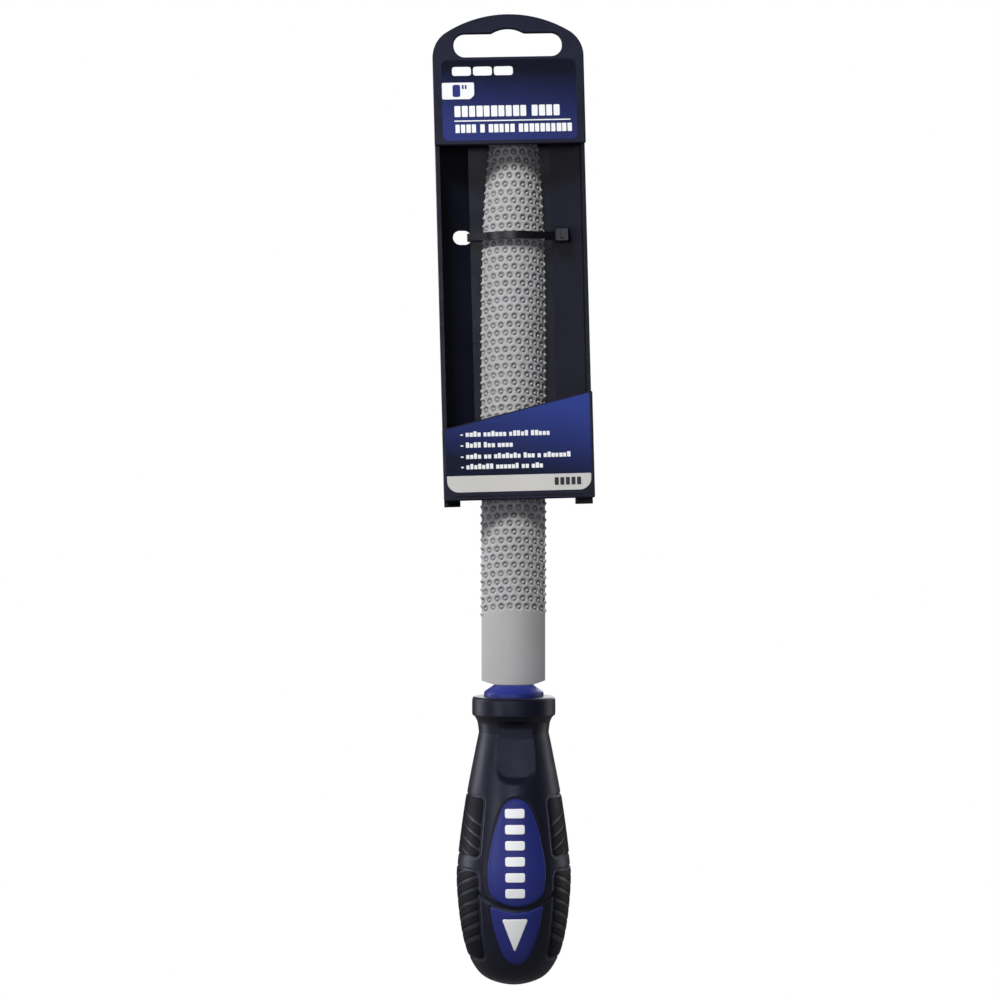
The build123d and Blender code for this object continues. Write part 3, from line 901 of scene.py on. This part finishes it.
def make_marks(material):
    bars = []
    for index in range(GRADE_COUNT):
        top = GRADE_TOP_Z - index * GRADE_PITCH + GRADE_HEIGHT / 2
        outline = bar(
            MARK_X - GRADE_WIDTH / 2, top, GRADE_WIDTH, GRADE_HEIGHT, radius=0.7, steps=5)
        bars.append(raised_pad(resample(outline, 44), PRINT_RINGS, 1))
    grade = make_object("grade_bars", *join_parts(bars))
    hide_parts("grade_mark")
    corners = [
        (MARK_X - POINTER_HALF, POINTER_TOP_Z), (MARK_X + POINTER_HALF, POINTER_TOP_Z),
        (MARK_X, POINTER_LOW_Z)]
    outline = resample(rounded_outline(corners, 0.8), 66)
    pointer = make_object("pointer_triangle", *raised_pad(outline, PRINT_RINGS, 1))
    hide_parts("pointer_mark")
    for obj in (grade, pointer):
        obj.data.materials.append(material)
        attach(obj, "rasp")


# ---------------------------------------------------------------- tread patches

TREAD_SPOKES = 300
TREAD_RINGS = 46
TREAD_CROWDING = 1.15
TREAD_ROOT = -1.6
RIB_RISE = 0.12
GROOVE_DEPTH = 0.9
GROOVE_PITCH = 3.9
GROOVE_SLOPE = math.tan(math.radians(20))


def tread_height(around, z, edge, place):
    """Slanted ribs between grooves that run out at the patch's edge: (height, groove share)."""
    top_z, low_z, turn = place
    count = round((top_z - low_z) / GROOVE_PITCH) - 1
    rise = z - (top_z + low_z) / 2 - turn * GROOVE_SLOPE * around
    phase = rise / GROOVE_PITCH + (count - 1) / 2
    wave = np.abs(phase - np.clip(np.round(phase), 0, count - 1)) * GROOVE_PITCH
    inside = smooth_step(edge, 0.1, 0.5)
    groove = (1 - smooth_step(wave, 0.25, 0.5)) * inside
    height = RIB_RISE - GROOVE_DEPTH * (groove + 1 - smooth_step(edge, 0.0, 0.5))
    return height, (1 - smooth_step(wave, 0.35, 0.8)) * inside


def make_tread(name, side, place, material):
    top_z, low_z, _ = place
    outline = resample(tread_outline(top_z, low_z), TREAD_SPOKES)
    centre = np.array([0, (top_z + low_z) / 2])
    shares = 1 - np.linspace(0, 1, TREAD_RINGS, endpoint=False) ** TREAD_CROWDING
    rings = np.array([
        centre + (outline - centre) * share for share in np.concatenate([[1.0], shares])])
    around, z = rings[..., 0], rings[..., 1]
    edge = np.maximum(-signed_distance(around, z, outline), 0)
    height, groove = tread_height(around, z, edge, place)
    height[0] = TREAD_ROOT
    radius = grip_radius(z)
    r = radius + height
    points = np.stack([
        AXIS_X + side * r * np.cos(around / radius), AXIS_Y + r * np.sin(around / radius), z], -1)
    vertices = points.reshape(-1, 3).tolist()
    pole = len(vertices)
    pole_radius = float(grip_radius(centre[1])) + height[-1].mean()
    vertices.append((AXIS_X + side * pole_radius, AXIS_Y, centre[1]))
    faces = grid_faces(len(rings), TREAD_SPOKES)
    faces += fan_faces(pole - TREAD_SPOKES, TREAD_SPOKES, pole)
    faces.append(tuple(range(TREAD_SPOKES - 1, -1, -1)))
    obj = make_object(f"{name}_pad", vertices, turned(faces) if side < 0 else faces)
    set_attribute(obj, "groove", np.append(groove.ravel(), groove[-1].mean()))
    obj.data.materials.append(material)
    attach(obj, "rasp")
    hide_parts(name)


# ---------------------------------------------------------------- hanger print

INK_RISE = 0.05
NARROWEST_LETTER = 0.74
WIDEST_LETTER = 0.86
WORD_GAP = 0.55
LETTER_ROUND = 0.12
SLEEVE_LABEL_HALF = 24.55
SLEEVE_LINES = [
    (-136.1, (4, 6, 5, 5)), (-139.8, (4, 3, 4)), (-143.6, (4, 2, 7, 3, 1, 7)),
    (-147.1, (7, 6, 2, 3))]
BAND_TOP_Z = -151.1
BAND_LOW_Z = -156.65
BAND_TOP_ROUND = 0.15
BAND_LOW_ROUND = 3.9
SIZE_TAB = [(-22.75, -18.1), (-11.9, -18.1), (-11.9, -22.4), (-13.2, -23.7), (-22.75, -23.7)]


def on_hanger(x, y, z):
    """A point given beside the hanger's own upright, turned with its lean."""
    return (
        x * math.cos(HANGER_LEAN) - z * math.sin(HANGER_LEAN),
        y,
        x * math.sin(HANGER_LEAN) + z * math.cos(HANGER_LEAN))


def ink_shape(outline, front_y):
    """Thin ink in the hanger's plane, half sunk in the card and half raised from it."""
    vertices = [on_hanger(x, front_y + INK_RISE, z) for x, z in outline]
    vertices += [on_hanger(x, front_y - INK_RISE, z) for x, z in outline]
    return vertices, turned(capped_faces(2, len(outline)))


def word_bars(left, top, height, words, pitch, front_y, short=1.0):
    """A line of greeked print: plain blocks for letters, in words of given lengths.

    Where short is under 1, most blocks are only that share of the line's height.
    """
    parts = []
    x = left
    for length in words:
        for _ in range(length):
            width = pitch * rng.uniform(NARROWEST_LETTER, WIDEST_LETTER)
            block = height * (rng.choice([short, short, 1.0]) if short < 1 else 1)
            outline = bar(x, top - height + block, width, block, LETTER_ROUND * pitch)
            parts.append(ink_shape(outline, front_y))
            x += pitch
        x += pitch * WORD_GAP
    return parts


def add_print(name, parts, material):
    obj = make_object(name, *join_parts(parts), smooth=False)
    obj.data.materials.append(material)
    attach(obj, "hanger")


def make_header_print(white, blue):
    y = LABEL_FRONT_Y
    parts = []
    for step in range(3):
        block = bar(left=-19.2 + step * 7.1, top=-12.8, width=6.4, height=3.0, radius=0.9)
        parts.append(ink_shape(block, y))
    parts += word_bars(left=-18.7, top=-26.0, height=3.7, words=(10, 4), pitch=2.48, front_y=y)
    rule = bar(left=-18.8, top=-30.9, width=39.4, height=0.38, radius=0.1)
    parts.append(ink_shape(rule, y))
    parts += word_bars(
        left=-18.5, top=-32.3, height=2.8, words=(4, 1, 5, 10), pitch=1.84, front_y=y)
    parts.append(ink_shape(rounded_outline(SIZE_TAB, 0.5, 4), y))
    add_print("header_print", parts, white)
    over_y = y - INK_RISE
    size_block = bar(left=-19.2, top=-18.8, width=2.6, height=4.1, radius=0.7)
    marks = [ink_shape(size_block, over_y)]
    for step in (0, 1.0):
        tick = bar(left=-16.0 + step, top=-18.9, width=0.6, height=1.4, radius=0.2)
        marks.append(ink_shape(tick, over_y))
    add_print("tab_mark", marks, blue)


def make_sleeve_print(white, silver, dark):
    y = SLEEVE_FRONT_Y
    parts = []
    for top, words in SLEEVE_LINES:
        dash = bar(left=-19.6, top=top - 0.9, width=0.9, height=0.45, radius=0.1)
        parts.append(ink_shape(dash, y))
        parts += word_bars(
            left=-17.8, top=top, height=1.8, words=words, pitch=1.33, front_y=y, short=0.76)
    add_print("sleeve_print", parts, white)
    half = SLEEVE_LABEL_HALF - 0.1
    corners = [(-half, BAND_TOP_Z), (half, BAND_TOP_Z), (half, BAND_LOW_Z), (-half, BAND_LOW_Z)]
    rounds = (BAND_TOP_ROUND, BAND_TOP_ROUND, BAND_LOW_ROUND, BAND_LOW_ROUND)
    outline = [rounded_corner(corners, index, radius) for index, radius in enumerate(rounds)]
    add_print("sleeve_band", [ink_shape(np.vstack(outline), y)], silver)
    code = []
    for step in range(5):
        block = bar(
            left=12.0 + step * 1.9, top=BAND_TOP_Z - 1.2, width=1.35, height=2.6, radius=0.3)
        code.append(ink_shape(block, y - INK_RISE))
    add_print("sleeve_code", code, dark)


# ---------------------------------------------------------------- stage, light and camera

FLOOR_RADIUS = 4000
FLOOR_SIDES = 64
FLOOR_GAP = 25
FLOOR_GREY = (0.15, 0.15, 0.155, 1)
SKY_COLOR = (0.9, 0.94, 1.0, 1)
SKY_STRENGTH = 0.1
CAMERA_TURN = math.radians(-3.2)
CAMERA_DISTANCE = 0.915
CAMERA_TARGET = (-0.00233, 0.003, -0.15965)
CAMERA_LENS = 96.9
CAMERA_SENSOR = 36
CAMERA_NEAR = 0.01
WARM = (1.0, 0.98, 0.95)
COOL = (0.92, 0.95, 1.0)
PLAIN = (1, 1, 1)


def aim(obj, target):
    direction = Vector(target) - obj.location
    obj.rotation_euler = direction.to_track_quat("-Z", "Y").to_euler()


def add_light(name, place, target, size, power, color, lights=True, mirrored=True):
    """Rectangular studio light that lights surfaces, is mirrored in them, or does both."""
    data = bpy.data.lights.new(name, "AREA")
    data.shape = "RECTANGLE"
    data.size, data.size_y = size
    data.energy = power
    data.color = color
    lamp = bpy.data.objects.new(name, data)
    bpy.context.scene.collection.objects.link(lamp)
    lamp.location = place
    lamp.visible_diffuse = lights
    lamp.visible_glossy = mirrored
    aim(lamp, target)


def show_to_camera(tree, shown, dim, output):
    """Shows one shader to the camera and the other to every other ray."""
    path = tree.nodes.new("ShaderNodeLightPath")
    mix = tree.nodes.new("ShaderNodeMixShader")
    tree.links.new(path.outputs["Is Camera Ray"], mix.inputs[0])
    tree.links.new(dim.outputs[0], mix.inputs[1])
    tree.links.new(shown.outputs[0], mix.inputs[2])
    tree.links.new(mix.outputs[0], output.inputs["Surface"])


def make_world():
    """White behind the part, and a faint cool light from all round it."""
    world = bpy.data.worlds.new("studio")
    bpy.context.scene.world = world
    world.use_nodes = True
    tree = world.node_tree
    tree.nodes.clear()
    output = tree.nodes.new("ShaderNodeOutputWorld")
    dim = tree.nodes.new("ShaderNodeBackground")
    dim.inputs["Color"].default_value = SKY_COLOR
    dim.inputs["Strength"].default_value = SKY_STRENGTH
    shown = tree.nodes.new("ShaderNodeBackground")
    shown.inputs["Color"].default_value = (1, 1, 1, 1)
    show_to_camera(tree, shown, dim, output)


def make_floor():
    """White to the camera, and dull grey to every other ray. It lies below the rasp's full draw."""
    floor_z = END_Z - DRAW_TRAVEL - FLOOR_GAP
    ring = [
        (FLOOR_RADIUS * math.cos(a), FLOOR_RADIUS * math.sin(a), floor_z)
        for a in np.linspace(0, 2 * math.pi, FLOOR_SIDES, endpoint=False)]
    floor = make_object("floor", ring, [tuple(range(FLOOR_SIDES))], smooth=False)
    material = bpy.data.materials.new("floor_white")
    material.use_nodes = True
    tree = material.node_tree
    tree.nodes.clear()
    output = tree.nodes.new("ShaderNodeOutputMaterial")
    dull = tree.nodes.new("ShaderNodeBsdfDiffuse")
    dull.inputs["Color"].default_value = FLOOR_GREY
    glow = tree.nodes.new("ShaderNodeEmission")
    show_to_camera(tree, glow, dull, output)
    floor.data.materials.append(material)


def make_camera():
    data = bpy.data.cameras.new("camera")
    data.lens = CAMERA_LENS
    data.sensor_width = CAMERA_SENSOR
    data.clip_start = CAMERA_NEAR
    camera = bpy.data.objects.new("camera", data)
    bpy.context.scene.collection.objects.link(camera)
    camera.location = Vector(CAMERA_TARGET) + CAMERA_DISTANCE * Vector((
        math.sin(CAMERA_TURN), -math.cos(CAMERA_TURN), 0))
    aim(camera, CAMERA_TARGET)
    bpy.context.scene.camera = camera


def make_lights():
    """Soft light from the front and above, two lights seen only as gloss, and three behind."""
    middle = (0, 0, -0.15)
    handle = (0, 0, -0.27)
    add_light(
        "key", place=(-0.5, -0.8, 1.0), target=middle, size=(0.35, 0.3), power=34, color=WARM,
        mirrored=False)
    add_light(
        "fill_front", place=(0.1, -1.2, 0.0), target=middle, size=(1.0, 1.0), power=0.9,
        color=COOL, mirrored=False)
    add_light(
        "gloss_top", place=(-0.12, -1.0, -0.03), target=handle, size=(0.45, 0.22), power=1.7,
        color=COOL, lights=False)
    add_light(
        "gloss_left", place=(-0.8, -0.75, -0.1), target=middle, size=(0.3, 0.5), power=2.2,
        color=PLAIN, lights=False)
    add_light(
        "rim_left", place=(-0.8, 0.35, -0.1), target=middle, size=(0.25, 1.1), power=4,
        color=PLAIN)
    add_light(
        "rim_right", place=(0.8, 0.35, -0.1), target=middle, size=(0.25, 1.1), power=2,
        color=PLAIN)
    add_light(
        "back", place=(0.35, 1.3, 0.45), target=middle, size=(1.0, 1.0), power=12, color=PLAIN)


# ---------------------------------------------------------------- build


def paint_node(name, material):
    """Gives a carried-over CAD node its finish."""
    node = frame["nodes"][name]
    node.data.materials.clear()
    node.data.materials.append(material)


make_world()
make_floor()
make_camera()
make_lights()

white = print_material()
blue = blue_material()
tie = tie_material()
hanger = hanger_material()
tread = tread_material()

make_blade(blade_material())
make_grip(grip_material())
make_core(blue)
make_marks(white)
for level, place in TREADS.items():
    for word, side in (("left", -1), ("right", 1)):
        make_tread(f"tread_{level}_{word}", side, place, tread)

paint_node("header_plate", hanger)
paint_node("sleeve_plate", hanger)
paint_node("hanger_tray", tray_material())
paint_node("cable_tie", tie)
paint_node("header_label", header_label_material())
paint_node("sleeve_label", sleeve_label_material())
make_header_print(white, blue)
make_sleeve_print(white, silver_material(), tie)

bpy.context.scene.view_settings.view_transform = "Standard"
